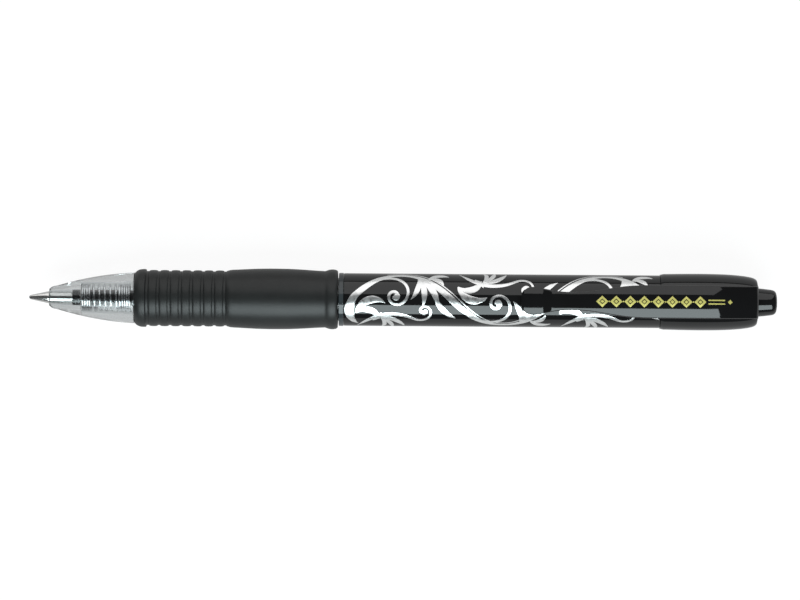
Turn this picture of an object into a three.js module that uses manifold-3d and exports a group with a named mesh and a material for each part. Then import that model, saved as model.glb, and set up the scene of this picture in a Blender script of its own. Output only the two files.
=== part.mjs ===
// A push-button gel pen, writing tip out, lying along X with its clip up.
// Millimetres, +Z up. The tip points to -X. The origin is under the pen's middle,
// on the surface that the grip rests on.
//
// Stations are distances along the pen from the front of the writing ball.

import * as THREE from "three";
import { mergeVertices } from "three/addons/utils/BufferGeometryUtils.js";
import Module from "manifold-3d";

const wasm = await Module();
wasm.setup();

// ---------------------------------------------------------------- driving dimensions

const LENGTH = 143;
const GRIP_RADIUS = 5.8;
const AXIS_HEIGHT = GRIP_RADIUS;
const SIDES = 32;
const FINE_SIDES = 20;

const NOSE_FRONT = 3.9;
const SHOULDER = 19.8;
const GRIP_START = 20;
const GRIP_END = 59.1;
const FLANGE_START = 59.3;
const FLANGE_END = 60.1;
const BARREL_START = 60.25;
const BARREL_END = 120.6;
const CAP_START = 120.9;
const CAP_END = 139.2;

const FLANGE_RADIUS = 5.09;
const BARREL_RADIUS = 5.035;
const BARREL_BORE = 4;
const NOSE_SHOULDER_RADIUS = 4.76;
const SLEEVED_RADIUS = 4.1;
const GRIP_BORE = 4.3;
const FRONT_BORE = 3.2;

const THREAD_PITCH = 1.6;
const THREAD_TURNS = 2.9;
const THREAD_START = 61.4;
const SPIGOT_END = 66.8;
const SPIGOT_RADIUS = 3.75;
const SOCKET_RADIUS = 4.4;
const SOCKET_END = 67.4;

const GROOVE_COUNT = 8;
const FIRST_GROOVE = 22.8;
const GROOVE_PITCH = 2.11;
const GROOVE_DEPTH = 0.28;
const BEAD_RADIUS = 5.4;

const SPRING_SEAT = 10.1;
const SPRING_END = 19.75;
const SPRING_COIL_RADIUS = 2.52;
const SPRING_WIRE_RADIUS = 0.21;

const BALL_RADIUS = 0.35;
const POINT_FRONT = 0.26;
const POINT_REAR = 12;
const POINT_RADIUS = 1.15;
const POINT_BORE = 0.33;
const HOLDER_FRONT = 8.6;
const HOLDER_REAR = 26;
const HOLDER_RADIUS = 1.475;
const TUBE_FRONT = 21.35;
const TUBE_REAR = 108.5;
const TUBE_RADIUS = 3.02;
const TUBE_BORE = 2.6;
const FILL_RADIUS = 2.4;
const INK_END = 88;

const GUIDE_START = 118.8;
const GUIDE_END = 128;
const GUIDE_BORE = 3.25;
const GUIDE_RIB_RADIUS = 2.35;
const GROOVE_WIDTH = 1.4;
const FIN_COUNT = 4;
const FIN_WIDTH = 1;
const FIN_RADIUS = 3;
const BUTTON_RADIUS = 2.75;
const BUTTON_HOLE = 2.85;
const STEM_RADIUS = 2.15;

const CLIP_FRONT = 93.9;
const CLIP_REAR = 139;
const CLIP_WAIST = 103.4;
const CLIP_SHOULDER = 117;
const CLIP_ROOT = 127;
const WAIST_HALF_WIDTH = 1.7;
const ARM_HALF_WIDTH = 3.12;
const CLIP_CAP_GAP = 0.2;

// ---------------------------------------------------------------- materials

function plastic(color, roughness, opacity = 1) {
  return new THREE.MeshStandardMaterial({
    color,
    roughness,
    metalness: 0,
    opacity,
    transparent: opacity < 1,
  });
}

function metal(color, roughness) {
  return new THREE.MeshStandardMaterial({ color, roughness, metalness: 1 });
}

const glossBlack = plastic(0x17181a, 0.15);
const clearSmoke = plastic(0xa9b2b4, 0.08, 0.45);
const gripRubber = plastic(0x2c2e2e, 0.75);
const holderPlastic = plastic(0x222426, 0.35);
const springSteel = metal(0xc9cccd, 0.25);
const pointMetal = metal(0xb9b6ae, 0.3);
const carbide = metal(0x8b8d90, 0.2);
const clearTube = plastic(0xe4e8ea, 0.15, 0.4);
const blackInk = plastic(0x0b0b0d, 0.3);
const followerGrease = plastic(0xe9e2c4, 0.4, 0.7);
const plugPlastic = plastic(0xd9dcdd, 0.4);
const camPlastic = plastic(0xf0efec, 0.45);

// ---------------------------------------------------------------- shared helpers

// The pen's axis as a frame: x along the pen, y sideways, z up from the axis.
function along(station) {
  return station - LENGTH / 2;
}

function signedVolume(position, index) {
  const a = new THREE.Vector3();
  const b = new THREE.Vector3();
  const c = new THREE.Vector3();
  let total = 0;
  for (let i = 0; i < index.length; i += 3) {
    a.fromBufferAttribute(position, index[i]);
    b.fromBufferAttribute(position, index[i + 1]);
    c.fromBufferAttribute(position, index[i + 2]);
    total += a.dot(b.cross(c)) / 6;
  }
  return total;
}

// One welded body, without collapsed triangles, with its faces pointing out.
function welded(geometry) {
  const bare = geometry.clone();
  bare.deleteAttribute("normal");
  bare.deleteAttribute("uv");
  const merged = mergeVertices(bare, 1e-4);
  const source = merged.index.array;
  const kept = [];
  for (let i = 0; i < source.length; i += 3) {
    const [a, b, c] = source.slice(i, i + 3);
    if (a !== b && b !== c && c !== a) {
      kept.push(a, b, c);
    }
  }
  if (signedVolume(merged.attributes.position, kept) < 0) {
    kept.reverse();
  }
  merged.setIndex(kept);
  return merged;
}

function solid(geometry) {
  const body = welded(geometry);
  return new wasm.Manifold(
    new wasm.Mesh({
      numProp: 3,
      vertProperties: new Float32Array(body.attributes.position.array),
      triVerts: new Uint32Array(body.index.array),
    }),
  );
}

function geometryOf(manifold) {
  const mesh = manifold.getMesh();
  const geometry = new THREE.BufferGeometry();
  geometry.setAttribute("position", new THREE.BufferAttribute(mesh.vertProperties, 3));
  geometry.setIndex(new THREE.BufferAttribute(mesh.triVerts, 1));
  return welded(geometry);
}

// A turned piece from [station, radius] pairs, about the pen's axis.
function turned(profile, sides = SIDES) {
  const points = profile.map(([station, radius]) => new THREE.Vector2(radius, along(station)));
  const geometry = new THREE.LatheGeometry(points, sides);
  geometry.rotateZ(-Math.PI / 2);
  return welded(geometry);
}

// A turned ring: its profile closes on itself.
function turnedRing(profile, sides = SIDES) {
  return turned([...profile, profile[0]], sides);
}

// Stations and radii along a circular arc through two ends, swelling by `bulge` at its middle.
function arc(start, end, bulge, steps) {
  const [x0, r0] = start;
  const [x1, r1] = end;
  const span = Math.hypot(x1 - x0, r1 - r0);
  const radius = (span * span) / (8 * bulge) + bulge / 2;
  const half = Math.asin(span / (2 * radius));
  const points = [];
  for (let i = 0; i <= steps; i += 1) {
    const turn = half * ((2 * i) / steps - 1);
    const run = 0.5 + (radius * Math.sin(turn)) / span;
    const rise = radius * Math.cos(turn) - (radius - bulge);
    const x = x0 + (x1 - x0) * run - ((r1 - r0) / span) * rise;
    const r = r0 + (r1 - r0) * run + ((x1 - x0) / span) * rise;
    points.push([x, r]);
  }
  return points;
}

class Helix extends THREE.Curve {
  // stationAt gives the station of the wire's centre after a share of all its turns.
  constructor(radius, turns, stationAt, phase = 0) {
    super();
    this.radius = radius;
    this.turns = turns;
    this.stationAt = stationAt;
    this.phase = phase;
    this.arcLengthDivisions = 1200;
  }

  getPoint(share, target = new THREE.Vector3()) {
    const turn = this.phase + 2 * Math.PI * this.turns * share;
    const y = this.radius * Math.cos(turn);
    const z = this.radius * Math.sin(turn);
    return target.set(along(this.stationAt(share)), y, z);
  }
}

// Round wire wound along a helix, with flat ends.
function wound(helix, wireRadius, stepsPerTurn, wireSides) {
  const section = new THREE.Shape();
  for (let i = 0; i < wireSides; i += 1) {
    const turn = (2 * Math.PI * i) / wireSides;
    const x = wireRadius * Math.cos(turn);
    const y = wireRadius * Math.sin(turn);
    if (i === 0) {
      section.moveTo(x, y);
    } else {
      section.lineTo(x, y);
    }
  }
  section.closePath();
  const steps = Math.round(helix.turns * stepsPerTurn);
  return new THREE.ExtrudeGeometry(section, { steps, extrudePath: helix });
}

// A box between two stations, standing out from the axis, turned about it.
function radialBox(start, end, inner, outer, width, turn) {
  const box = new THREE.BoxGeometry(end - start, outer - inner, width);
  box.translate(along((start + end) / 2), (inner + outer) / 2, 0);
  box.rotateX(turn);
  return box;
}

function node(name, geometry, material) {
  const mesh = new THREE.Mesh(geometry, material);
  mesh.name = name;
  return mesh;
}

// ---------------------------------------------------------------- front section

// A rounded helical ridge, the male and female halves half a pitch apart.
function threadRidge(radius, wireRadius, start, phase) {
  const helix = new Helix(
    radius,
    THREAD_TURNS,
    (share) => start + THREAD_PITCH * THREAD_TURNS * share,
    phase,
  );
  return solid(wound(helix, wireRadius, 24, 6));
}

function makeFrontBarrel() {
  const body = turnedRing([
    [NOSE_FRONT, 1.25],
    [NOSE_FRONT, 1.7],
    [4.55, 2.12],
    ...arc([5.8, 2.34], [SHOULDER, NOSE_SHOULDER_RADIUS], 0.39, 8),
    [SHOULDER, SLEEVED_RADIUS],
    [FLANGE_START, SLEEVED_RADIUS],
    [FLANGE_START, FLANGE_RADIUS - 0.1],
    [FLANGE_START + 0.1, FLANGE_RADIUS],
    [FLANGE_END - 0.1, FLANGE_RADIUS],
    [FLANGE_END, FLANGE_RADIUS - 0.1],
    [FLANGE_END, SPIGOT_RADIUS],
    [SPIGOT_END - 0.4, SPIGOT_RADIUS],
    [SPIGOT_END, SPIGOT_RADIUS - 0.3],
    [SPIGOT_END, FRONT_BORE],
    [18.6, FRONT_BORE],
    [17.6, 2.95],
    [SPRING_SEAT, 2.95],
    [SPRING_SEAT, 1.65],
    [7.1, 1.65],
    [6.8, 1.25],
  ]);
  const ridge = threadRidge(SPIGOT_RADIUS + 0.1, 0.35, THREAD_START, 0);
  return node("front_barrel", geometryOf(solid(body).add(ridge)), clearSmoke);
}

function gripGrooves() {
  const points = [];
  for (let i = 0; i < GROOVE_COUNT; i += 1) {
    const middle = FIRST_GROOVE + i * GROOVE_PITCH;
    points.push([middle - GROOVE_DEPTH, BEAD_RADIUS]);
    points.push([middle, BEAD_RADIUS - GROOVE_DEPTH]);
    points.push([middle + GROOVE_DEPTH, BEAD_RADIUS]);
  }
  return points;
}

function makeGripSleeve() {
  const profile = [
    [GRIP_START, GRIP_BORE],
    [GRIP_START, 4.85],
    [GRIP_START + 0.5, 5.25],
    [GRIP_START + 1.4, 5.55],
    [GRIP_START + 2.3, 5.5],
    ...gripGrooves(),
    [39.4, 5.56],
    ...arc([41, 5.66], [52, 5.62], 0.16, 5),
    [56.4, 5.44],
    [56.7, 5.44],
    [57.3, 5.64],
    [58.2, 5.73],
    [58.8, 5.66],
    [GRIP_END, 5.4],
    [GRIP_END, GRIP_BORE],
  ];
  return node("grip_sleeve", turnedRing(profile), gripRubber);
}

// ---------------------------------------------------------------- rear section

function makeUpperBarrel() {
  const body = turnedRing([
    [BARREL_START, SOCKET_RADIUS],
    [BARREL_START, BARREL_RADIUS - 0.12],
    [BARREL_START + 0.12, BARREL_RADIUS],
    [BARREL_END - 0.12, BARREL_RADIUS],
    [BARREL_END, BARREL_RADIUS - 0.12],
    [BARREL_END, BARREL_BORE],
    [SOCKET_END, BARREL_BORE],
    [SOCKET_END, SOCKET_RADIUS],
  ]);
  const ridge = threadRidge(SOCKET_RADIUS - 0.05, 0.38, THREAD_START + THREAD_PITCH / 2, 0);
  return node("upper_barrel", geometryOf(solid(body).add(ridge)), glossBlack);
}

// Ribs between four grooves, on the wall of the cap's bore.
function guideRibs() {
  const ring = solid(
    turnedRing([
      [GUIDE_START, GUIDE_RIB_RADIUS],
      [GUIDE_START, GUIDE_BORE + 0.2],
      [GUIDE_END + 0.2, GUIDE_BORE + 0.2],
      [GUIDE_END + 0.2, BUTTON_HOLE],
      [GUIDE_END, GUIDE_RIB_RADIUS],
    ]),
  );
  let ribs = ring;
  for (let i = 0; i < FIN_COUNT; i += 1) {
    const turn = (2 * Math.PI * i) / FIN_COUNT;
    const groove = radialBox(GUIDE_START - 1, GUIDE_END, 1, GUIDE_BORE, GROOVE_WIDTH, turn);
    ribs = ribs.subtract(solid(groove));
  }
  return ribs;
}

const capOutline = [
  [CAP_START, 5.2],
  [CAP_START + 0.3, 5.32],
  [124, 5.38],
  [128.3, 5.415],
  [132, 5.36],
  [134.4, 5.26],
  [136, 5.12],
  [137.3, 4.94],
  [138.3, 4.74],
  [138.9, 4.46],
  [CAP_END, 4.15],
];

function makeRearCap() {
  const shell = turnedRing([
    [110.5, GUIDE_BORE],
    [110.5, 3.7],
    [110.8, 3.85],
    [CAP_START, 3.85],
    ...capOutline,
    [CAP_END, BUTTON_HOLE],
    [GUIDE_END, BUTTON_HOLE],
    [GUIDE_END, GUIDE_BORE],
  ]);
  return node("rear_cap", geometryOf(solid(shell).add(guideRibs())), glossBlack);
}

// ---------------------------------------------------------------- clip

// The clip seen from above, from its head back to its root and round again.
function clipPlan() {
  const front = along(CLIP_FRONT);
  const waist = along(CLIP_WAIST);
  const shoulder = along(CLIP_SHOULDER);
  const plan = new THREE.Shape();
  plan.moveTo(front, 0);
  plan.bezierCurveTo(front, 1.6, along(94.4), 2.7, along(96.2), 2.65);
  plan.bezierCurveTo(along(98.6), 2.6, along(100.5), 1.72, waist, WAIST_HALF_WIDTH);
  plan.bezierCurveTo(along(108.5), 1.7, along(111.2), 3.1, shoulder, ARM_HALF_WIDTH);
  plan.lineTo(along(CLIP_REAR), ARM_HALF_WIDTH);
  plan.lineTo(along(CLIP_REAR), -ARM_HALF_WIDTH);
  plan.lineTo(shoulder, -ARM_HALF_WIDTH);
  plan.bezierCurveTo(along(111.2), -3.1, along(108.5), -1.7, waist, -WAIST_HALF_WIDTH);
  plan.bezierCurveTo(along(100.5), -1.72, along(98.6), -2.6, along(96.2), -2.65);
  plan.bezierCurveTo(along(94.4), -2.7, front, -1.6, front, 0);
  return plan;
}

// The clip seen from the side, heights above the pen's axis.
function clipSide() {
  const side = new THREE.Shape();
  side.moveTo(along(CLIP_FRONT - 0.2), 6);
  side.lineTo(along(CLIP_FRONT - 0.2), 6.6);
  side.quadraticCurveTo(along(96), 6.85, along(97.9), 6.75);
  side.bezierCurveTo(along(98.8), 6.7, along(99.4), 7.45, along(100.3), 7.55);
  side.quadraticCurveTo(along(113), 8.9, along(124), 8.95);
  side.quadraticCurveTo(along(128.6), 8.95, along(131.4), 8.6);
  side.quadraticCurveTo(along(134.8), 7.6, along(138.2), 6.45);
  side.quadraticCurveTo(along(138.8), 6.2, along(CLIP_REAR), 5.7);
  side.lineTo(along(CLIP_REAR), 4.2);
  side.lineTo(along(CLIP_ROOT), 4.2);
  side.lineTo(along(125.4), 7.1);
  side.quadraticCurveTo(along(112), 7, along(102), 5.95);
  side.quadraticCurveTo(along(98.7), 4.65, along(95.8), 5.75);
  side.closePath();
  return side;
}

function makeClip() {
  const plan = new THREE.ExtrudeGeometry(clipPlan(), {
    depth: 12,
    curveSegments: 5,
    bevelEnabled: false,
  });
  const side = new THREE.ExtrudeGeometry(clipSide(), {
    depth: 8,
    curveSegments: 6,
    bevelEnabled: false,
  });
  side.rotateX(Math.PI / 2);
  side.translate(0, 4, 0);
  const cleared = [
    [CAP_START - 2, 0],
    [CAP_START - 2, 5.2 + CLIP_CAP_GAP],
    ...capOutline.map(([station, radius]) => [station, radius + CLIP_CAP_GAP]),
    [CAP_END + 1, 4.2],
    [CAP_END + 1, 0],
  ];
  const arm = solid(plan).intersect(solid(side)).subtract(solid(turned(cleared)));
  return node("clip", geometryOf(arm), glossBlack);
}

// ---------------------------------------------------------------- push mechanism

function makePushButton() {
  const stem = turned([
    [GUIDE_START, 1.05],
    [GUIDE_START, STEM_RADIUS],
    [129.5, STEM_RADIUS],
    [129.6, BUTTON_RADIUS - 0.1],
    [129.9, BUTTON_RADIUS],
    [CAP_END, BUTTON_RADIUS],
    [140.6, 2.6],
    [141.9, 2.46],
    [142.5, 2.28],
    [142.85, 1.95],
    [LENGTH, 1.5],
    [LENGTH, 0],
    [125, 0],
    [124.6, 1.05],
    [GUIDE_START, 1.05],
  ]);
  let body = solid(stem);
  for (let i = 0; i < FIN_COUNT; i += 1) {
    const turn = (2 * Math.PI * i) / FIN_COUNT;
    body = body.add(solid(radialBox(119.9, 122, 1.5, FIN_RADIUS, FIN_WIDTH, turn)));
  }
  const toothCount = 8;
  for (let i = 0; i < toothCount; i += 1) {
    const turn = (2 * Math.PI * (i + 0.5)) / toothCount;
    const notch = new THREE.CylinderGeometry(0.36, 0.36, 2, 4);
    notch.translate(along(GUIDE_START), 2, 0);
    notch.rotateX(turn);
    body = body.subtract(solid(notch));
  }
  return node("push_button", geometryOf(body), glossBlack);
}

// A fin with a sloping rear end, seen from outside and stood out from the axis.
function rotorFin(turn) {
  const front = along(115.2);
  const rear = along(118.4);
  const outline = new THREE.Shape();
  outline.moveTo(front, -FIN_WIDTH / 2);
  outline.lineTo(front, FIN_WIDTH / 2);
  outline.lineTo(rear - 0.7, FIN_WIDTH / 2);
  outline.lineTo(rear, -FIN_WIDTH / 2);
  outline.closePath();
  const fin = new THREE.ExtrudeGeometry(outline, {
    depth: FIN_RADIUS - 1.6,
    bevelEnabled: false,
  });
  fin.translate(0, 0, 1.6);
  fin.rotateX(turn);
  return fin;
}

function makeIndexRotor() {
  let body = solid(
    turned([
      [111.35, 0],
      [111.35, 1.4],
      [112.3, 2],
      [118.1, 2],
      [118.4, 1.6],
      [118.4, 0.92],
      [122, 0.92],
      [122.4, 0.6],
      [122.4, 0],
    ]),
  );
  for (let i = 0; i < FIN_COUNT; i += 1) {
    body = body.add(solid(rotorFin((2 * Math.PI * i) / FIN_COUNT)));
  }
  return node("index_rotor", geometryOf(body), camPlastic);
}

// ---------------------------------------------------------------- return spring

function makeReturnSpring() {
  const closedPitch = 0.46;
  const openPitch = 1.05;
  const frontTurns = 3.5;
  const openTurns = 5;
  const first = SPRING_SEAT + 0.25;
  const last = SPRING_END - SPRING_WIRE_RADIUS;
  const openSpan = openTurns * openPitch;
  const rearTurns = (last - first - openSpan) / closedPitch - frontTurns;
  const turns = frontTurns + openTurns + rearTurns;
  const stationAt = (share) => {
    const turn = share * turns;
    const open = THREE.MathUtils.clamp(turn - frontTurns, 0, openTurns);
    return first + (turn - open) * closedPitch + open * openPitch;
  };
  const helix = new Helix(SPRING_COIL_RADIUS, turns, stationAt);
  return node("return_spring", welded(wound(helix, SPRING_WIRE_RADIUS, 14, 6)), springSteel);
}

// ---------------------------------------------------------------- refill

function makeTipBall() {
  const ball = new THREE.SphereGeometry(BALL_RADIUS, 14, 10);
  ball.translate(along(BALL_RADIUS), 0, 0);
  return node("tip_ball", welded(ball), carbide);
}

function makeTipPoint() {
  const profile = [
    [POINT_FRONT, BALL_RADIUS - 0.004],
    [POINT_FRONT, 0.41],
    [3.8, POINT_RADIUS],
    [8.4, POINT_RADIUS],
    [8.4, 0.9],
    [POINT_REAR, 0.9],
    [POINT_REAR, POINT_BORE],
    [0.98, POINT_BORE],
    [0.8, 0.22],
    [0.76, BALL_RADIUS + 0.03],
    [0.36, BALL_RADIUS + 0.03],
  ];
  return node("tip_point", turnedRing(profile, FINE_SIDES), pointMetal);
}

function makeBallSeatSpring() {
  const turns = 6;
  const helix = new Helix(0.22, turns, (share) => 1.1 + 2.2 * share);
  return node("ball_seat_spring", welded(wound(helix, 0.045, 8, 4)), springSteel);
}

function makeTipHolder() {
  const profile = [
    [HOLDER_FRONT, 1.1],
    [HOLDER_FRONT, 1.35],
    [8.75, HOLDER_RADIUS],
    [20, HOLDER_RADIUS],
    [20.2, TUBE_RADIUS - 0.1],
    [20.3, TUBE_RADIUS],
    [21.1, TUBE_RADIUS],
    [21.1, FILL_RADIUS],
    [HOLDER_REAR, FILL_RADIUS],
    [HOLDER_REAR, 0.6],
    [12.3, 0.6],
    [12.3, 1.1],
  ];
  return node("tip_holder", turnedRing(profile, 24), holderPlastic);
}

function makeRefillTube() {
  const profile = [
    [TUBE_FRONT, TUBE_BORE],
    [TUBE_FRONT, TUBE_RADIUS],
    [TUBE_REAR, TUBE_RADIUS],
    [TUBE_REAR, TUBE_BORE],
  ];
  return node("refill_tube", turnedRing(profile), clearTube);
}

function makeInkColumn() {
  const profile = [
    [HOLDER_REAR + 0.3, 0],
    [HOLDER_REAR + 0.3, FILL_RADIUS],
    [INK_END, FILL_RADIUS],
    [INK_END, 0],
  ];
  return node("ink_column", turned(profile, 24), blackInk);
}

function makeInkFollower() {
  const profile = [
    [INK_END + 0.3, 0],
    [INK_END + 0.3, FILL_RADIUS],
    [93.2, FILL_RADIUS],
    [92.6, 1.2],
    [92.4, 0],
  ];
  return node("ink_follower", turned(profile, 24), followerGrease);
}

function makeTailPlug() {
  const profile = [
    [104.5, 0.5],
    [104.5, 2.2],
    [104.8, FILL_RADIUS],
    [TUBE_REAR + 0.25, FILL_RADIUS],
    [TUBE_REAR + 0.25, 2.9],
    [110.8, 2.9],
    [111, 2.7],
    [111, 0.5],
  ];
  return node("tail_plug", turnedRing(profile, 24), plugPlastic);
}

// ---------------------------------------------------------------- the pen

const frontSection = new THREE.Group();
frontSection.add(makeFrontBarrel(), makeGripSleeve());

const rearSection = new THREE.Group();
rearSection.add(makeUpperBarrel(), makeRearCap(), makeClip());

const mechanism = new THREE.Group();
mechanism.add(makePushButton(), makeIndexRotor(), makeReturnSpring());

const refill = new THREE.Group();
refill.add(
  makeTipBall(),
  makeTipPoint(),
  makeBallSeatSpring(),
  makeTipHolder(),
  makeRefillTube(),
  makeInkColumn(),
  makeInkFollower(),
  makeTailPlug(),
);

const pen = new THREE.Group();
pen.position.z = AXIS_HEIGHT;
pen.add(frontSection, rearSection, mechanism, refill);

export default pen;
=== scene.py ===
"""A push-button gel pen lying on a pale table.

Clear smoke nose, grooved rubber grip, gloss black barrel with silver foil scrollwork,
waisted clip, push button, and the refill and springs that it holds.
Stations are millimetres along the pen from the front of the writing ball.
"""

import math

import bmesh
import bpy
from bpy.props import FloatProperty, FloatVectorProperty, IntProperty, PointerProperty
from bpy.types import Operator, Panel, PropertyGroup
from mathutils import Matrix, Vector


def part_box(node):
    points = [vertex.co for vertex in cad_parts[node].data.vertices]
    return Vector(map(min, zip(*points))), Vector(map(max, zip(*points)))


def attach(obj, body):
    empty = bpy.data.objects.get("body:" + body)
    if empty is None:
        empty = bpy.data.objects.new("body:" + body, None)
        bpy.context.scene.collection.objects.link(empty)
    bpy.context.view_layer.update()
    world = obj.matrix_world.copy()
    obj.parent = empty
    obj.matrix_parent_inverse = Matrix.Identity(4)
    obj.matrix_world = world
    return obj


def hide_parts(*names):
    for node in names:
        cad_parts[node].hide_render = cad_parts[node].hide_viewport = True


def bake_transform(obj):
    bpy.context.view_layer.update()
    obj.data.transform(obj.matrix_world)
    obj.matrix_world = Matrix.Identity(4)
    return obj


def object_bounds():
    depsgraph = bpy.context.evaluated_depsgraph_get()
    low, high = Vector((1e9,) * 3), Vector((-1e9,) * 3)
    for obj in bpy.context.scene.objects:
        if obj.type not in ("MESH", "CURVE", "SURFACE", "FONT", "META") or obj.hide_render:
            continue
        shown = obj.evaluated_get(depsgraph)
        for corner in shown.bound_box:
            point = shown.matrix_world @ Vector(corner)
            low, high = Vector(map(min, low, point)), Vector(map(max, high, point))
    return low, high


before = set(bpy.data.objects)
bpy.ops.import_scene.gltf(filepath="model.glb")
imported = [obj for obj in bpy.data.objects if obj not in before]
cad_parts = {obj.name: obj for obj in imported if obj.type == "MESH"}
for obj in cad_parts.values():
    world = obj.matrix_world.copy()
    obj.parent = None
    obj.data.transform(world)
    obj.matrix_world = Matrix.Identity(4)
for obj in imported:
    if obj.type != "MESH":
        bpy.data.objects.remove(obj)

bl_info = {
    "name": "Gel Pen",
    "version": (1, 0, 0),
    "blender": (4, 5, 0),
    "location": "View3D > Sidebar > Gel Pen",
    "description": "Fine surfaces, finishes and studio for a push-button gel pen",
    "category": "Add Mesh",
}

MM = 0.001
WELD = 0.0002 * MM
CAD_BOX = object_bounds()
TIP_X = CAD_BOX[0].x
GRIP_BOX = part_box("grip_sleeve")
AXIS_Z = (GRIP_BOX[0].z + GRIP_BOX[1].z) / 2


def span(node):
    """Stations where a CAD node starts and ends."""
    low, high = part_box(node)
    return (low.x - TIP_X) / MM, (high.x - TIP_X) / MM


def widest(node):
    """A turned CAD node's largest radius, in millimetres."""
    low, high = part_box(node)
    return (high.z - low.z) / 2 / MM


NOSE_FRONT, SPIGOT_END = span("front_barrel")
GRIP_START, GRIP_END = span("grip_sleeve")
BARREL_START, BARREL_END = span("upper_barrel")
SPIGOT_START, CAP_END = span("rear_cap")
CLIP_FRONT = span("clip")[0]
STEM_START, BUTTON_END = span("push_button")
SPRING_FRONT, SPRING_REAR = span("return_spring")
POINT_FRONT, POINT_REAR = span("tip_point")
HOLDER_FRONT, HOLDER_REAR = span("tip_holder")
TUBE_FRONT, TUBE_REAR = span("refill_tube")
INK_FRONT, INK_REAR = span("ink_column")
FOLLOWER_FRONT, FOLLOWER_REAR = span("ink_follower")
PLUG_FRONT, PLUG_REAR = span("tail_plug")
ROTOR_FRONT, ROTOR_REAR = span("index_rotor")

BARREL_RADIUS = widest("upper_barrel")
TUBE_RADIUS = widest("refill_tube")
POINT_RADIUS = widest("tip_point")
BALL_RADIUS = (span("tip_ball")[1] - span("tip_ball")[0]) / 2
FLANGE_START = 59.3
FLANGE_END = BARREL_START - 0.04
FLANGE_RADIUS = widest("front_barrel")
CAP_START = BARREL_END + 0.05
RUBBER_START = GRIP_START + 0.3
THREAD_START = 61.4
THREAD_PITCH = 1.6
THREAD_TURNS = 2.9
SPIGOT_RADIUS = 3.75
SOCKET_RADIUS = 4.4
GUIDE_END = 128


# ---- what a user would change


COLOUR = {"subtype": "COLOR", "size": 4, "min": 0, "max": 1}
LENGTH = {"unit": "LENGTH", "precision": 5}


class PenSizes(PropertyGroup):
    """How finely the pen is modelled, and the sizes of its decoration."""

    turn_steps: IntProperty(
        name="Turning steps",
        description="Faces round a turned piece",
        default=128,
        min=24,
        max=256,
    )
    scroll_reach: FloatProperty(
        name="Scroll reach",
        description="How far round the barrel the vine swings to each side of its middle",
        default=5.7 * MM,
        **LENGTH,
    )
    scroll_bay: FloatProperty(
        name="Scroll bay",
        description="Length of one swing of the vine along the barrel",
        default=19.4 * MM,
        **LENGTH,
    )
    foil_height: FloatProperty(
        name="Foil height",
        description="How far the foil stands off the barrel",
        default=0.012 * MM,
        unit="LENGTH",
        precision=6,
    )
    lozenge_height: FloatProperty(
        name="Lozenge height",
        description="Height of the lozenges along the clip",
        default=2.2 * MM,
        **LENGTH,
    )


class PenColours(PropertyGroup):
    """Base colours of the pen's finishes."""

    gloss_black: FloatVectorProperty(
        name="Gloss black",
        description="Barrel, cap, clip and button",
        default=(0.005, 0.005, 0.0053, 1),
        **COLOUR,
    )
    clear_smoke: FloatVectorProperty(
        name="Clear smoke",
        description="Tint of the clear nose",
        default=(0.83, 0.855, 0.86, 1),
        **COLOUR,
    )
    grip_rubber: FloatVectorProperty(
        name="Grip rubber",
        description="The moulded grip",
        default=(0.0118, 0.0128, 0.0126, 1),
        **COLOUR,
    )
    foil_silver: FloatVectorProperty(
        name="Silver foil",
        description="Scrollwork stamped on the barrel",
        default=(0.96, 0.965, 0.96, 1),
        **COLOUR,
    )
    gold_ink: FloatVectorProperty(
        name="Gold ink",
        description="Ornament printed on the clip",
        default=(0.74, 0.665, 0.19, 1),
        **COLOUR,
    )


class PenStudio(PropertyGroup):
    """Camera and light round the pen."""

    lens: FloatProperty(
        name="Lens",
        description="Focal length of the camera looking down on the pen",
        default=150,
        unit="CAMERA",
    )
    camera_height: FloatProperty(
        name="Camera height",
        description="Distance of the camera above the pen's axis",
        default=0.638,
        unit="LENGTH",
    )
    camera_turn: FloatProperty(
        name="Camera turn",
        description="How far the camera is turned about its own line of sight",
        default=math.radians(0.43),
        unit="ROTATION",
    )
    wall_power: FloatProperty(
        name="Wall light",
        description="Power of the tall soft light behind the pen",
        default=3.6,
        unit="POWER",
    )
    strip_power: FloatProperty(
        name="Strip light",
        description="Power of the long soft box in front of the pen",
        default=3.75,
        unit="POWER",
    )


def sizes():
    return bpy.context.scene.pen_sizes


def colours():
    return bpy.context.scene.pen_colours


def studio():
    return bpy.context.scene.pen_studio


# ---- modelling by hand


def along(station):
    return TIP_X + station * MM


def at(station, out=0.0, up=0.0):
    """A point from a station, and millimetres sideways and above the pen's axis."""
    return Vector((along(station), out * MM, AXIS_Z + up * MM))


AXIS_POINT = at(0)


def deselect():
    if bpy.context.object and bpy.context.object.mode == "EDIT":
        bpy.ops.object.mode_set(mode="OBJECT")
    bpy.ops.object.select_all(action="DESELECT")


def pick(*objects):
    """Selects these objects only, the first one active."""
    deselect()
    for thing in objects:
        thing.select_set(True)
    bpy.context.view_layer.objects.active = objects[0]


def settle(piece):
    """Puts the object's place into its mesh, with its own origin at the world's."""
    pick(piece)
    bpy.ops.object.transform_apply(location=True, rotation=True, scale=True)


def chain(name, points):
    """A chain of edges through the points, drawn by extruding one vertex, left in edit mode."""
    deselect()
    bpy.ops.mesh.primitive_plane_add(size=MM, location=points[0])
    piece = bpy.context.object
    piece.name = name
    settle(piece)
    open_mesh()
    bpy.ops.mesh.merge(type="CENTER")
    for here, there in zip(points, points[1:]):
        bpy.ops.mesh.extrude_vertices_move(TRANSFORM_OT_translate={"value": there - here})
    return piece


def open_mesh():
    """Edit mode on the active object, with everything selected."""
    bpy.ops.object.mode_set(mode="EDIT")
    bpy.ops.mesh.select_all(action="SELECT")


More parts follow.
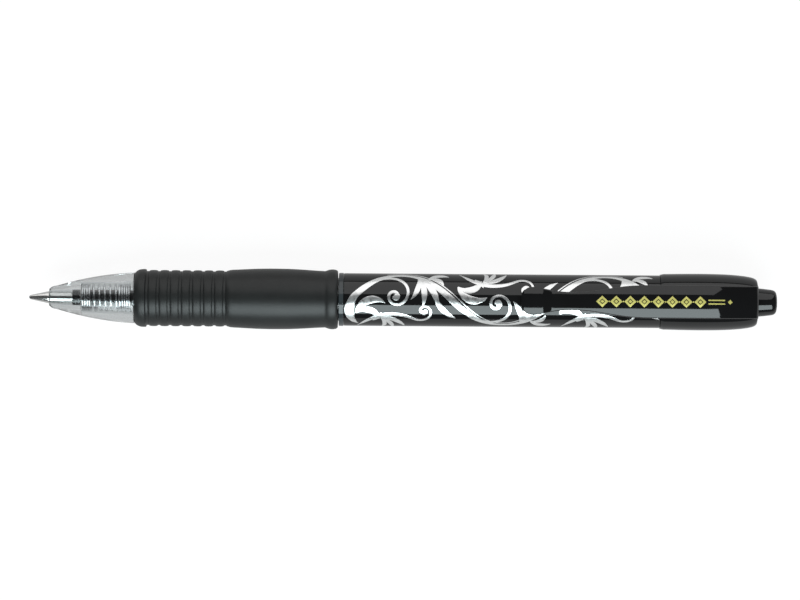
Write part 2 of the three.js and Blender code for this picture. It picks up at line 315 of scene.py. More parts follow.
def close_mesh():
    """Turns every face outward and leaves edit mode."""
    bpy.ops.mesh.select_all(action="SELECT")
    bpy.ops.mesh.normals_make_consistent(inside=False)
    bpy.ops.object.mode_set(mode="OBJECT")


def weld(threshold=WELD):
    """Merges the vertices of the mesh being edited that stand in one place."""
    bpy.ops.mesh.select_all(action="SELECT")
    bpy.ops.mesh.remove_doubles(threshold=threshold)


def softened(corners):
    """Points of an outline; a corner with a third number, its rounding, is drawn as a curve."""
    steps = 3
    points = []
    for i, (station, radius, *rounding) in enumerate(corners):
        if not rounding:
            points.append((station, radius))
            continue
        corner = Vector((station, radius))
        before = (Vector(corners[i - 1][:2]) - corner).normalized() * rounding[0]
        after = (Vector(corners[(i + 1) % len(corners)][:2]) - corner).normalized() * rounding[0]
        for k in range(steps + 1):
            share = k / steps
            points.append(tuple(corner + before * (1 - share) ** 2 + after * share**2))
    return points


def turn(name, corners, steps=0, closed=False):
    """A turned piece: its outline of stations, radii and roundings, spun round the pen's axis."""
    outline = softened(corners)
    if closed:
        outline.append(outline[0])
    piece = chain(name, [at(station, up=radius) for station, radius in outline])
    bpy.ops.mesh.select_all(action="SELECT")
    bpy.ops.mesh.spin(
        steps=steps or sizes().turn_steps,
        angle=2 * math.pi,
        center=AXIS_POINT,
        axis=(1, 0, 0),
        use_auto_merge=True,
    )
    weld()
    close_mesh()
    return piece


def ring(name, corners, steps=0):
    """A turned piece with a bore: its outline closes on itself."""
    return turn(name, corners, steps, closed=True)


def swell(start, end, bulge, steps):
    """Stations and radii on a circular arc through two ends, its middle pushed out by bulge."""
    (x0, r0), (x1, r1) = start, end
    reach = math.hypot(x1 - x0, r1 - r0)
    radius = reach * reach / (8 * bulge) + bulge / 2
    half = math.asin(reach / (2 * radius))
    points = []
    for i in range(steps + 1):
        angle = half * (2 * i / steps - 1)
        run = 0.5 + radius * math.sin(angle) / reach
        rise = radius * math.cos(angle) - (radius - bulge)
        station = x0 + (x1 - x0) * run - (r1 - r0) / reach * rise
        points.append((station, r0 + (r1 - r0) * run + (x1 - x0) / reach * rise))
    return points


def smooth_through(points, x):
    """The value at x of a smooth curve through given (x, value) points."""
    last = len(points) - 2
    i = max(0, min(last, sum(1 for p in points if p[0] <= x) - 1))
    (x0, v0), (x1, v1) = points[i], points[i + 1]

    def slope(k):
        if k in (0, len(points) - 1):
            near = points[1 if k == 0 else k - 1]
            return (near[1] - points[k][1]) / (near[0] - points[k][0])
        (xa, va), (xb, vb), (xc, vc) = points[k - 1 : k + 2]
        rise_in, rise_out = (vb - va) / (xb - xa), (vc - vb) / (xc - xb)
        if rise_in * rise_out <= 0:
            return 0.0
        return 2 * rise_in * rise_out / (rise_in + rise_out)

    width = x1 - x0
    t = max(0.0, min(1.0, (x - x0) / width))
    start = (1 + 2 * t) * (1 - t) ** 2 * v0 + t * (1 - t) ** 2 * width * slope(i)
    return start + t * t * (3 - 2 * t) * v1 + t * t * (t - 1) * width * slope(i + 1)


def fin(name, start, end, inner, outer, width, rounding=0.08):
    """A radial fin between two stations, standing out from the axis, with its edges eased."""
    deselect()
    bpy.ops.mesh.primitive_cube_add(size=1, location=at((start + end) / 2, up=(inner + outer) / 2))
    piece = bpy.context.object
    piece.name = name
    piece.scale = ((end - start) * MM, width * MM, (outer - inner) * MM)
    settle(piece)
    open_mesh()
    bpy.ops.mesh.bevel(offset=rounding * MM, segments=2, affect="EDGES")
    bpy.ops.object.mode_set(mode="OBJECT")
    return piece


def repeat_round(piece, count, offset=0.0):
    """Copies a piece's mesh round the pen's axis until it stands count times."""
    pick(piece)
    open_mesh()
    if offset:
        bpy.ops.transform.rotate(value=offset, orient_axis="X", center_override=AXIS_POINT)
    bpy.ops.mesh.spin(
        steps=count - 1,
        dupli=True,
        angle=2 * math.pi * (count - 1) / count,
        center=AXIS_POINT,
        axis=(1, 0, 0),
    )
    close_mesh()
    return piece


def modify(piece, kind, **settings):
    """Puts a modifier with these settings on the piece and applies it."""
    pick(piece)
    bpy.ops.object.modifier_add(type=kind)
    modifier = piece.modifiers[-1]
    for name, value in settings.items():
        setattr(modifier, name, value)
    bpy.ops.object.modifier_apply(modifier=modifier.name)


def combine(piece, tool, operation):
    """Joins the tool to the piece, or cuts it away."""
    modify(piece, "BOOLEAN", solver="EXACT", operation=operation, object=tool)
    bpy.data.objects.remove(tool)
    return piece


def wound(name, stations, radius, wire_radius, turns, steps_per_turn, sides):
    """Round wire wound about the pen's axis.

    stations gives the station of the wire's middle after a share of its turns.
    """
    curve = bpy.data.curves.new(name, "CURVE")
    curve.dimensions = "3D"
    curve.bevel_depth = wire_radius * MM
    curve.bevel_resolution = sides
    curve.use_fill_caps = True
    count = round(turns * steps_per_turn) + 1
    line = curve.splines.new("POLY")
    line.points.add(count - 1)
    for i, knot in enumerate(line.points):
        share = i / (count - 1)
        angle = 2 * math.pi * turns * share
        out, up = radius * math.cos(angle), radius * math.sin(angle)
        knot.co = (*at(stations(share), out, up), 1)
    piece = bpy.data.objects.new(name, curve)
    bpy.context.collection.objects.link(piece)
    pick(piece)
    bpy.ops.object.convert(target="MESH")
    piece = bpy.context.object
    open_mesh()
    weld(2.5 * WELD)
    close_mesh()
    return piece


def dress(piece, slot, degrees=32, finish=None):
    """Smooths the piece below an angle between faces, and gives it its finish."""
    pick(piece)
    bpy.ops.object.shade_smooth_by_angle(angle=math.radians(degrees))
    piece.data.materials.clear()
    piece.data.materials.append(finish_of(finish or slot))


def stand_for(piece, body, *nodes):
    """The piece rides on the body and is shown in place of these CAD nodes."""
    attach(piece, body)
    if nodes:
        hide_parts(*nodes)


# ---- finishes


class Finish:
    """A material under construction: its node tree, its shader and its object coordinates."""

    def __init__(self, name, **constants):
        self.material = bpy.data.materials.new(name)
        self.material.use_nodes = True
        self.tree = self.material.node_tree
        self.shader = self.tree.nodes["Principled BSDF"]
        for socket, value in constants.items():
            self.shader.inputs[socket.replace("_", " ")].default_value = value
        self.place = self.node("ShaderNodeTexCoord").outputs["Object"]

    def node(self, kind, inputs=None, **settings):
        made = self.tree.nodes.new(kind)
        for name, value in settings.items():
            setattr(made, name, value)
        for socket, value in (inputs or {}).items():
            made.inputs[socket].default_value = value
        return made

    def link(self, source, target):
        self.tree.links.new(source, target)

    def stretched(self, scale):
        """Object coordinates drawn out, for a grain that runs one way."""
        mapping = self.node("ShaderNodeMapping", {"Scale": scale})
        self.link(self.place, mapping.inputs["Vector"])
        return mapping.outputs["Vector"]

    def noise(self, size, detail=3.0, vector=None):
        """Cloudy noise whose patches are about size millimetres across."""
        made = self.node("ShaderNodeTexNoise", {"Scale": 1 / (size * MM), "Detail": detail})
        self.link(vector or self.place, made.inputs["Vector"])
        return made.outputs["Fac"]

    def rings(self, pitch):
        """Turning marks: bands across the pen, pitch millimetres apart."""
        scale = math.pi / 10 / (pitch * MM)
        inputs = {"Scale": scale, "Distortion": 0.4, "Detail": 2, "Detail Scale": 0.3}
        made = self.node("ShaderNodeTexWave", inputs, wave_type="BANDS", bands_direction="X")
        self.link(self.place, made.inputs["Vector"])
        return made.outputs["Fac"]

    def ranged(self, factor, low, high):
        """Spreads the middle of a noise's values, where most of them lie, between two others."""
        inputs = {"From Min": 0.3, "From Max": 0.7, "To Min": low, "To Max": high}
        made = self.node("ShaderNodeMapRange", inputs)
        self.link(factor, made.inputs["Value"])
        return made.outputs["Result"]

    def colour(self, factor, dark, light):
        made = self.node("ShaderNodeMix", data_type="RGBA")
        self.link(self.ranged(factor, 0, 1), made.inputs["Factor"])
        colour_sockets = [s for s in made.inputs if s.type == "RGBA"]
        colour_sockets[0].default_value = (*dark[:3], 1)
        colour_sockets[1].default_value = (*light[:3], 1)
        result = next(s for s in made.outputs if s.type == "RGBA")
        self.link(result, self.shader.inputs["Base Color"])

    def roughness(self, factor, low, high):
        self.link(self.ranged(factor, low, high), self.shader.inputs["Roughness"])

    def bump(self, height, distance, under=None):
        """Relief of distance millimetres, on top of the relief given as under."""
        made = self.node("ShaderNodeBump", {"Strength": 1, "Distance": distance * MM})
        self.link(height, made.inputs["Height"])
        if under:
            self.link(under, made.inputs["Normal"])
        self.link(made.outputs["Normal"], self.shader.inputs["Normal"])
        return made.outputs["Normal"]


def shade(colour, factor):
    return [c * factor for c in colour[:3]]


def gloss_black_finish():
    """Polished black plastic: near-mirror, with faint flow waves and polishing haze."""
    finish = Finish("gloss_black_plastic", IOR=1.5)
    black = colours().gloss_black
    cloud = finish.noise(6)
    hairlines = finish.noise(0.5, 4, finish.stretched((0.08, 1, 1)))
    finish.colour(cloud, shade(black, 0.88), shade(black, 1.12))
    finish.roughness(hairlines, 0.045, 0.085)
    finish.bump(finish.noise(2.5, 1), 0.0012)
    return finish.material


def clear_smoke_finish():
    """Clear smoke-grey polycarbonate, polished inside and out."""
    finish = Finish("clear_smoke_plastic", Transmission_Weight=1, IOR=1.5)
    tint = colours().clear_smoke
    finish.colour(finish.noise(5), shade(tint, 0.985), shade(tint, 1.0))
    finish.roughness(finish.noise(0.8, 4, finish.stretched((0.1, 1, 1))), 0.015, 0.05)
    finish.bump(finish.noise(1.8, 1), 0.001)
    return finish.material


def ring_finish():
    """The clear moulding's ring, dark where the barrel's black stands behind it."""
    finish = Finish("smoke_over_black", IOR=1.52)
    finish.colour(finish.noise(1.2), (0.03, 0.036, 0.039), (0.036, 0.043, 0.047))
    finish.roughness(finish.noise(0.5), 0.05, 0.1)
    finish.bump(finish.noise(1.8, 1), 0.001)
    return finish.material


def grip_rubber_finish():
    """Moulded elastomer: matte, finely grained, with a dusty bloom."""
    finish = Finish("grip_rubber", IOR=1.42)
    rubber = colours().grip_rubber
    grain = finish.noise(0.12, 4)
    finish.colour(finish.noise(3.5, 4), shade(rubber, 0.82), shade(rubber, 1.22))
    finish.roughness(grain, 0.34, 0.47)
    finish.bump(grain, 0.006, finish.bump(finish.noise(1.6, 2), 0.008))
    return finish.material


def metal_finish(name, base, low, high, pitch, relief):
    """Turned or drawn metal with fine marks round it."""
    finish = Finish(name, Metallic=1)
    marks = finish.rings(pitch)
    finish.colour(finish.noise(0.9), shade(base, 0.9), base)
    finish.roughness(finish.noise(0.3, 4), low, high)
    finish.bump(marks, relief)
    return finish.material


def moulded_finish(name, base, low, high, grain_size=0.25):
    """A moulded part left as it came from its tool."""
    finish = Finish(name, IOR=1.49)
    grain = finish.noise(grain_size, 4)
    finish.colour(finish.noise(2.2), shade(base, 0.9), base)
    finish.roughness(grain, low, high)
    finish.bump(grain, 0.002)
    return finish.material


def clear_tube_finish():
    """The refill's thin clear tube."""
    finish = Finish("clear_tube_plastic", Transmission_Weight=1, IOR=1.45)
    finish.colour(finish.noise(4), (0.9, 0.92, 0.93), (0.95, 0.96, 0.97))
    finish.roughness(finish.noise(0.6), 0.05, 0.12)
    finish.bump(finish.noise(1.2, 1), 0.002)
    return finish.material


def grease_finish():
    """Pale amber follower grease."""
    finish = Finish("follower_grease", Transmission_Weight=0.8, IOR=1.47)
    finish.colour(finish.noise(1.5), (0.8, 0.72, 0.48), (0.9, 0.84, 0.62))
    finish.roughness(finish.noise(0.5), 0.1, 0.2)
    finish.bump(finish.noise(0.8, 2), 0.01)
    return finish.material


def foil_finish():
    """Hot-stamped silver foil: soft mirror, slightly crinkled, with grey shading in it."""
    finish = Finish("silver_foil", Metallic=1)
    silver = colours().foil_silver
    clouds = finish.noise(2.6, 3)
    finish.colour(clouds, shade(silver, 0.85), silver)
    finish.roughness(finish.noise(0.9, 3), 0.24, 0.36)
    finish.bump(finish.noise(0.5, 2), 0.0015, finish.bump(clouds, 0.03))
    return finish.material


def gold_ink_finish():
    """Printed gold ink: flakes in a clear binder."""
    finish = Finish("gold_ink", Metallic=0.35, IOR=1.5)
    gold = colours().gold_ink
    flakes = finish.noise(0.08, 4)
    finish.colour(finish.noise(0.5, 4), shade(gold, 0.82), gold)
    finish.roughness(flakes, 0.3, 0.5)
    finish.bump(flakes, 0.003)
    return finish.material


# base colour, lowest and highest roughness, pitch and relief of the marks
METALS = {
    "point_metal": ((0.76, 0.755, 0.74), 0.12, 0.24, 0.12, 0.002),
    "spring_steel": ((0.78, 0.78, 0.79), 0.12, 0.24, 0.3, 0.001),
    "carbide": ((0.4, 0.41, 0.43), 0.08, 0.16, 0.05, 0.0003),
}
# base colour, lowest and highest roughness, and the grain where it is not the usual one
MOULDED = {
    "holder_plastic": ((0.017, 0.018, 0.019), 0.28, 0.42),
    "cam_plastic": ((0.86, 0.85, 0.81), 0.35, 0.5),
    "plug_plastic": ((0.78, 0.79, 0.8), 0.3, 0.45),
    "gel_ink": ((0.004, 0.004, 0.006), 0.05, 0.12, 1.5),
}
OTHERS = {
    "gloss_black_plastic": gloss_black_finish,
    "clear_smoke_plastic": clear_smoke_finish,
    "smoke_over_black": ring_finish,
    "grip_rubber": grip_rubber_finish,
    "clear_tube_plastic": clear_tube_finish,
    "follower_grease": grease_finish,
    "silver_foil": foil_finish,
    "gold_ink": gold_ink_finish,
}


FINISHES = {}


def finish_of(name):
    """The material of this name, made when it is first asked for."""
    if name not in FINISHES:
        if name in METALS:
            FINISHES[name] = metal_finish(name, *METALS[name])
        elif name in MOULDED:
            FINISHES[name] = moulded_finish(name, *MOULDED[name])
        else:
            FINISHES[name] = OTHERS[name]()
    return FINISHES[name]


# ---- stage


class PEN_OT_stage(Operator):
    """Pale floor, two long soft lights and a camera looking straight down on the pen"""

    bl_idname = "pen.stage"
    bl_label = "Stage"

    floor_white = 0.93
    floor_glow = 0.5
    sensor_width = 36
    camera_place = (-0.52 * MM, -0.03 * MM)
    wall_place = (0, 0.5, 0.575)
    wall_size = (0.96, 1.05)
    strip_x = 0.038
    strip_distance = 0.5
    strip_lean = math.radians(44)
    strip_size = (0.584, 0.374)
    strip_tint = (0.86, 0.98, 1)
    air = (0.085, 0.087, 0.089, 1)

    def execute(self, context):
        deselect()
        look = studio()
        bpy.ops.object.camera_add(location=(*self.camera_place, AXIS_Z + look.camera_height))
        camera = context.object
        camera.rotation_euler = (0, 0, look.camera_turn)
        camera.data.lens = look.lens
        camera.data.sensor_width = self.sensor_width
        camera.data.clip_start = 0.01
        context.scene.camera = camera
        context.scene.view_settings.view_transform = "Standard"
        self.make_floor()
        upright = math.radians(-90)
        self.make_light("wall_light", self.wall_place, upright, self.wall_size, look.wall_power)
        lean, distance = self.strip_lean, self.strip_distance
        place = (self.strip_x, -distance * math.sin(lean), distance * math.cos(lean) + AXIS_Z)
        self.make_light(
            "strip_light", place, lean, self.strip_size, look.strip_power, self.strip_tint
        )
        world = bpy.data.worlds.new("studio_air")
        world.use_nodes = True
        world.node_tree.nodes["Background"].inputs["Color"].default_value = self.air
        context.scene.world = world
        return {"FINISHED"}

    def make_floor(self):
        deselect()
        bpy.ops.mesh.primitive_plane_add(size=8)
        floor = bpy.context.object
        floor.name = "table_top"
        material = bpy.data.materials.new("pale_table")
        material.use_nodes = True
        tree = material.node_tree
        shader = tree.nodes["Principled BSDF"]
        for socket, value in (
            ("Base Color", (0.1, 0.1, 0.1, 1)),
            ("Roughness", 0.9),
            ("Specular IOR Level", 0.1),
            ("Emission Color", (1, 1, 1, 1)),
        ):
            shader.inputs[socket].default_value = value
        ray = tree.nodes.new("ShaderNodeLightPath")
        glow = tree.nodes.new("ShaderNodeMapRange")
        glow.inputs["To Min"].default_value = self.floor_glow
        glow.inputs["To Max"].default_value = self.floor_white
        tree.links.new(ray.outputs["Is Camera Ray"], glow.inputs["Value"])
        tree.links.new(glow.outputs["Result"], shader.inputs["Emission Strength"])
        floor.data.materials.append(material)

    def make_light(self, name, place, lean, size, power, tint=(1, 1, 1)):
        deselect()
        bpy.ops.object.light_add(type="AREA", location=place)
        light = bpy.context.object
        light.name = name
        light.rotation_euler = (lean, 0, 0)
        light.data.shape = "RECTANGLE"
        light.data.size, light.data.size_y = size
        light.data.energy = power
        light.data.color = tint
        light.visible_camera = False


# ---- front section


def screw_thread(radius, ridge, shift=0.0):
    """A rounded right-hand ridge of the barrel's thread."""
    first = THREAD_START + shift

    def place(share):
        return first + THREAD_PITCH * THREAD_TURNS * share

    return wound("thread", place, radius, ridge, THREAD_TURNS, steps_per_turn=48, sides=2)


class PEN_OT_front_barrel(Operator):
    """Clear nose, sleeve under the grip, joint ring and threaded spigot, moulded in one"""

    bl_idname = "pen.front_barrel"
    bl_label = "Front barrel"

    def execute(self, context):
        nose_end = RUBBER_START - 0.12
        nose = swell((5.8, 2.38), (nose_end, 4.86), bulge=0.44, steps=28)
        body = ring("front_moulding", [
            (NOSE_FRONT, 1.25, 0.06), (NOSE_FRONT, 1.7, 0.15), (4.55, 2.12, 0.2),
            *nose,
            (nose_end, 4.1, 0.1), (FLANGE_END, 4.1), (FLANGE_END, SPIGOT_RADIUS),
            (SPIGOT_END, SPIGOT_RADIUS, 0.35), (SPIGOT_END, 3.2, 0.1), (18.6, 3.2, 0.3),
            (17.6, 2.95, 0.3), (SPRING_FRONT, 2.95, 0.1), (SPRING_FRONT, 1.65, 0.1),
            (10.0, 1.65, 0.6),
        ])
        combine(body, screw_thread(SPIGOT_RADIUS + 0.1, 0.35), "UNION")
        dress(body, "clear_smoke_plastic")
        stand_for(body, "front_section", "front_barrel")
        flange = ring("joint_ring", [
            (FLANGE_START, 4.1, 0.1), (FLANGE_START, FLANGE_RADIUS, 0.16),
            (FLANGE_END, FLANGE_RADIUS, 0.12), (FLANGE_END, 4.1, 0.1),
        ])
        dress(flange, "clear_smoke_plastic", finish="smoke_over_black")
        stand_for(flange, "front_section")
        return {"FINISHED"}


class PEN_OT_grip_sleeve(Operator):
    """Rubber grip: eight grooves with softly crowned beads between them, a swell and a rear bead"""

    bl_idname = "pen.grip_sleeve"
    bl_label = "Grip sleeve"

    groove_count = 8
    groove_pitch = 2.11
    first_groove = 22.8
    bead_radius = 5.31
    bead_crown = 0.07
    groove_depth = 0.15
    groove_half = 0.34
    groove_floor = ((-1, 0), (-0.82, 0.3), (-0.62, 1), (0, 0.9), (0.62, 1), (0.82, 0.3), (1, 0))
    swelling = (
        (40.0, 5.57), (41.5, 5.65), (44.0, 5.76), (46.5, 5.8), (49.5, 5.77), (52.5, 5.64),
        (55.0, 5.48), (56.3, 5.42),
    )

    def beads(self):
        """Outline points of the grooved stretch."""
        points = []
        for i in range(self.groove_count):
            middle = self.first_groove + i * self.groove_pitch
            for share, fall in self.groove_floor:
                depth = self.groove_depth * fall
                points.append((middle + share * self.groove_half, self.bead_radius - depth))
            if i < self.groove_count - 1:
                for share in (0.3, 0.5, 0.7):
                    crown = self.bead_crown * math.sin(math.pi * share)
                    points.append((middle + share * self.groove_pitch, self.bead_radius + crown))
        return points

    def execute(self, context):
        steps = 32
        first, last = self.swelling[0][0], self.swelling[-1][0]
        smooth_swell = []
        for i in range(steps + 1):
            station = first + (last - first) * i / steps
            smooth_swell.append((station, smooth_through(self.swelling, station)))
        body = ring("rubber_grip", [
            (RUBBER_START, 4.3), (RUBBER_START, 4.8), (RUBBER_START + 0.06, 4.92),
            (RUBBER_START + 0.2, 5.06), (RUBBER_START + 0.45, 5.25), (RUBBER_START + 0.8, 5.42),
            (RUBBER_START + 1.2, 5.52), (RUBBER_START + 1.7, 5.55), (RUBBER_START + 2.1, 5.52),
            *self.beads(),
            (38.6, 5.49),
            (39.2, 5.54),
            *smooth_swell,
            (56.55, 5.4), (56.75, 5.42), (57.0, 5.52), (57.4, 5.66), (57.9, 5.73), (58.35, 5.72),
            (58.75, 5.64), (59.0, 5.5), (GRIP_END, 5.3), (GRIP_END, 4.3),
        ])
        dress(body, "grip_rubber", 40)
        stand_for(body, "front_section", "grip_sleeve")
        return {"FINISHED"}


# ---- rear section


class PEN_OT_upper_barrel(Operator):
    """Gloss black tube with the female thread in its front end"""

    bl_idname = "pen.upper_barrel"
    bl_label = "Upper barrel"

    def execute(self, context):
        body = ring("barrel_tube", [
            (BARREL_START, SOCKET_RADIUS, 0.15), (BARREL_START, BARREL_RADIUS, 0.14),
            (BARREL_END, BARREL_RADIUS, 0.14), (BARREL_END, 4, 0.1), (67.4, 4),
            (67.4, SOCKET_RADIUS),
        ])
        combine(body, screw_thread(SOCKET_RADIUS - 0.05, 0.38, THREAD_PITCH / 2), "UNION")
        dress(body, "gloss_black_plastic")
        stand_for(body, "barrel", "upper_barrel")
        return {"FINISHED"}


CAP_OUTLINE = (
    (CAP_START, 5.16), (CAP_START + 0.08, 5.26), (CAP_START + 0.3, 5.31), (122.4, 5.34),
    (125.0, 5.39), (128.3, 5.415), (131.0, 5.39), (133.5, 5.31), (135.5, 5.17), (137.0, 5.0),
    (138.0, 4.82), (138.6, 4.64), (138.95, 4.45), (CAP_END - 0.06, 4.28), (CAP_END, 4.1),
)


class PEN_OT_rear_cap(Operator):
    """Bullet-shaped rear cap with its spigot, button hole and cam guide ribs"""

    bl_idname = "pen.rear_cap"
    bl_label = "Rear cap"

    def guide_ribs(self):
        """Four ribs on the wall of the cap's bore, between the button's fins."""
        ribs = ring("guide_ribs", [
            (STEM_START, 2.35, 0.15), (STEM_START, 3.45), (GUIDE_END + 0.2, 3.45),
            (GUIDE_END + 0.2, 2.85), (GUIDE_END, 2.35, 0.1),
        ])
        groove = fin(
            "grooves", STEM_START - 1, GUIDE_END, inner=1, outer=3.25, width=1.4, rounding=0.02
        )
        grooves = repeat_round(groove, 4)
        return combine(ribs, grooves, "DIFFERENCE")

    def execute(self, context):
        rounded = []
        steps = 44
        for i in range(steps + 1):
            share = i / steps
            station = CAP_START + (CAP_END - CAP_START) * (1 - (1 - share) ** 1.6)
            rounded.append((station, smooth_through(CAP_OUTLINE, station)))
        body = ring("end_cap", [
            (SPIGOT_START, 3.25, 0.1), (SPIGOT_START, 3.85, 0.3), (CAP_START, 3.85, 0.05),
            *rounded,
            (CAP_END, 2.85, 0.12), (GUIDE_END, 2.85), (GUIDE_END, 3.25),
        ])
        combine(body, self.guide_ribs(), "UNION")
        dress(body, "gloss_black_plastic")
        stand_for(body, "barrel", "rear_cap")
        return {"FINISHED"}


# ---- clip

CROWN_RADIUS = 6.5
HEAD_CENTRE = 94.6
HEAD_HALF_WIDTH = 2.05
CLIP_ROOT = 133
CLIP_ARM = 116

CLIP_HALF_WIDTH = (
    (HEAD_CENTRE, HEAD_HALF_WIDTH), (95.2, 2.48), (96.2, 2.66), (97.4, 2.55), (99.0, 2.2),
    (101.0, 1.86), (103.4, 1.72), (106.0, 1.82), (109.0, 2.2), (112.0, 2.68), (115.0, 3.02),
    (118.0, 3.13), (130.0, 3.14), (139.2, 3.08),
)

CLIP_CREST = (
    (93.9, 6.32), (94.2, 6.58), (94.8, 6.74), (96.2, 6.8), (97.4, 6.72), (97.9, 6.76), (98.5, 6.98),
    (99.3, 7.38), (99.9, 7.58), (101.0, 7.68), (106.0, 8.04), (112.0, 8.5), (118.0, 8.82),
    (124.0, 8.94), (127.0, 8.94), (129.5, 8.86), (131.2, 8.62), (132.5, 8.26), (134.0, 7.8),
    (136.0, 7.16), (137.6, 6.64), (138.4, 6.32), (138.8, 6.04), (139.05, 5.65),
)

CLIP_SOLE = (
    (93.9, 6.2), (94.6, 6.0), (95.8, 5.74), (97.2, 5.36), (98.6, 5.22), (100.2, 5.4), (102.0, 5.86),
    (106.0, 6.3), (112.0, 6.78), (119.0, 7.06), (124.6, 7.1), (125.6, 6.95), (126.2, 6.2),
    (126.9, 4.7), (127.6, 4.2), (133.0, 4.1), (136.5, 3.9), (139.05, 3.4),
)


def clip_half_width(station):
    """Half the clip's width, its front end a half circle seen from above."""
    if station < HEAD_CENTRE:
        forward = (HEAD_CENTRE - station) / (HEAD_CENTRE + 0.02 - CLIP_FRONT)
        return max(0.02, HEAD_HALF_WIDTH * math.sqrt(1 - forward**2))
    return smooth_through(CLIP_HALF_WIDTH, station)


def clip_section(station):
    """Sideways and upward millimetres round the clip at a station: its sole, then its crown."""
    half = clip_half_width(station)
    crest = smooth_through(CLIP_CREST, station)
    sole = smooth_through(CLIP_SOLE, station)
    low_edge, high_edge = 0.16, 0.3
    sole_points = [
        (-half, sole + low_edge), (-half + low_edge * 0.3, sole + low_edge * 0.3),
        (-half + low_edge, sole), (0, sole), (half - low_edge, sole),
        (half - low_edge * 0.3, sole + low_edge * 0.3), (half, sole + low_edge),
    ]

    def crown(out):
        return crest - CROWN_RADIUS + math.sqrt(CROWN_RADIUS**2 - out**2)

    shoulder = half - high_edge
    edge = crown(shoulder)
    crown_points = [
        (half, edge - high_edge * 1.15), (half - high_edge * 0.08, edge - high_edge * 0.72),
        (half - high_edge * 0.3, edge - high_edge * 0.34),
        (half - high_edge * 0.62, edge - high_edge * 0.1), (shoulder, edge),
    ]
    middle = [shoulder * share for share in (0.86, 0.7, 0.52, 0.35, 0.17)]
    right = crown_points + [(out, crown(out)) for out in middle]
    left = [(-out, up) for out, up in reversed(right)]
    return sole_points + right + [(0, crest)] + left


def section_points(station):
    return [at(station, out, up) for out, up in clip_section(station)]


class PEN_OT_clip(Operator):
    """Waisted clip with a crowned top, a dropped head and a root sunk into the cap"""

    bl_idname = "pen.clip"
    bl_label = "Clip"

    def stations(self):
        """Where the sections stand, rear end first, closer together at both ends."""
        rear = [139.05, 138.98, 138.88, 138.74, 138.56, 138.34, 138.05, 137.7, 137.3, 136.8]
        middle = [136.2 - 0.6 * i for i in range(60)]
        head = [100.4, 100.1, 99.8, 99.5, 99.2, 98.9, 98.6, 98.3, 98.0, 97.6, 97.2, 96.8, 96.4]
        tip = [96.0, 95.6, 95.2, 94.9, 94.7, 94.5, 94.35, 94.22, 94.12, 94.03, 93.97, 93.93]
        return rear + [s for s in middle if s > 100.6] + head + tip

    def execute(self, context):
        stations = self.stations()
        outline = section_points(stations[0])
        clip = chain("pocket_clip", [*outline, outline[0]])
        weld()
        bpy.ops.mesh.select_all(action="SELECT")
        bpy.ops.mesh.edge_face_add()
        for before, station in zip(stations, stations[1:]):
            self.extrude_to(clip, before, station)
        bpy.ops.mesh.merge(type="CENTER")
        close_mesh()
        dress(clip, "gloss_black_plastic", 50)
        flex_with_clip(clip)
        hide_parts("clip")
        return {"FINISHED"}

    def extrude_to(self, clip, before, station):
        """Extrudes the section at one station to the next and gives it that station's outline."""
        step = Vector((along(station) - along(before), 0, 0))
        bpy.ops.mesh.extrude_region_move(TRANSFORM_OT_translate={"value": step})
        old_outline, new_outline = section_points(before), section_points(station)
        mesh = bmesh.from_edit_mesh(clip.data)
        for vertex in mesh.verts:
            if vertex.select:
                gaps = [(point + step - vertex.co).length for point in old_outline]
                vertex.co = new_outline[gaps.index(min(gaps))]
        bmesh.update_edit_mesh(clip.data)


def flex_with_clip(piece):
    """Puts the piece's place into its mesh; the points at the clip's root and arm are worked out
    but not used.
    """
    at(CLIP_ROOT, up=8)
    at(CLIP_ARM, up=8)
    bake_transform(piece)


